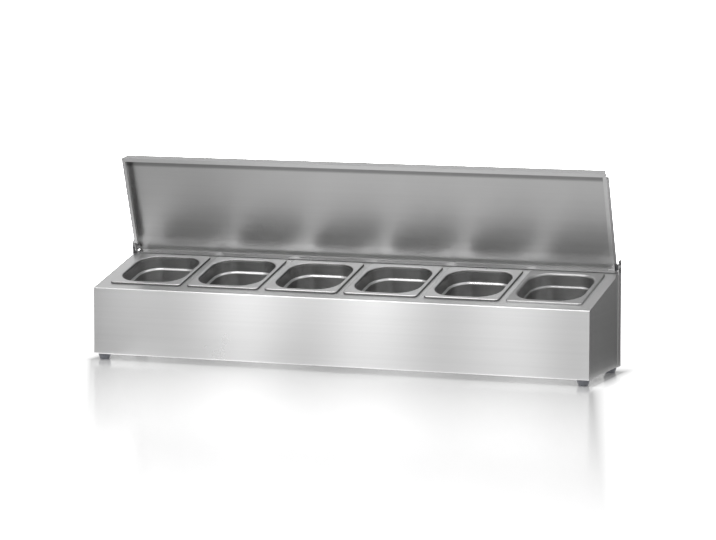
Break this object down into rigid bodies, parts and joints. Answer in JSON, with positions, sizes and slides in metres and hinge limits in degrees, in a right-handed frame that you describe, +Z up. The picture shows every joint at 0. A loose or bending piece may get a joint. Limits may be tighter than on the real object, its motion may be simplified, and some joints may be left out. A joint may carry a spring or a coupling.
{
  "type": "countertop ingredient holder",
  "caption": "Long stainless ingredient holder with a sloping deck of drop-in food pans and a hinged full-length lid, on short round feet.",
  "frame": {"origin": "on the surface that the feet stand on, below the middle of the overall box with the lid open", "axes": "+X to the right along the holder, +Y from the front panel to the back, +Z up"},
  "size_m": [1.0994, 0.223, 0.4229],
  "materials": {
    "housing_steel": "brushed along the length",
    "lid_steel": "brushed along the length",
    "pan_steel": "satin, drawn",
    "screw_steel": "bright",
    "bush_nylon": "smooth",
    "foot_rubber": "moulded, matt"
  },
  "bodies": {
    "housing": {"front_and_deck": "housing_steel", "left_side_panel": "housing_steel", "right_side_panel": "housing_steel", "back_panel": "housing_steel", "base_panel": "housing_steel", "deck_rib_1": "housing_steel", "deck_rib_2": "housing_steel", "deck_rib_3": "housing_steel", "deck_rib_4": "housing_steel", "deck_rib_5": "housing_steel", "hinge_screws": "screw_steel", "hinge_bushes": "bush_nylon", "hinge_washers": "screw_steel", "hinge_nuts": "screw_steel", "front_right_foot": "foot_rubber", "front_left_foot": "foot_rubber", "rear_right_foot": "foot_rubber", "rear_left_foot": "foot_rubber", "foot_screws": "screw_steel", "foot_nuts": "screw_steel"},
    "lid": {"lid": "lid_steel"},
    "pan_1": {"pan_1": "pan_steel"},
    "pan_2": {"pan_2": "pan_steel"},
    "pan_3": {"pan_3": "pan_steel"},
    "pan_4": {"pan_4": "pan_steel"},
    "pan_5": {"pan_5": "pan_steel"},
    "pan_6": {"pan_6": "pan_steel"}
  },
  "joints": [
    {"name": "lid_hinge", "type": "hinge", "parent": "housing", "child": "lid", "pos_m": [0, 0.09697, 0.21825], "axis": [-1, 0, 0], "range_deg": [-85.5, 20]},
    {"name": "pan_1_lift", "type": "slide", "parent": "housing", "child": "pan_1", "axis": [0, -0.2436, 0.9699], "range_m": [0, 0.11]},
    {"name": "pan_2_lift", "type": "slide", "parent": "housing", "child": "pan_2", "axis": [0, -0.2436, 0.9699], "range_m": [0, 0.11]},
    {"name": "pan_3_lift", "type": "slide", "parent": "housing", "child": "pan_3", "axis": [0, -0.2436, 0.9699], "range_m": [0, 0.11]},
    {"name": "pan_4_lift", "type": "slide", "parent": "housing", "child": "pan_4", "axis": [0, -0.2436, 0.9699], "range_m": [0, 0.11]},
    {"name": "pan_5_lift", "type": "slide", "parent": "housing", "child": "pan_5", "axis": [0, -0.2436, 0.9699], "range_m": [0, 0.11]},
    {"name": "pan_6_lift", "type": "slide", "parent": "housing", "child": "pan_6", "axis": [0, -0.2436, 0.9699], "range_m": [0, 0.11]}
  ]
}
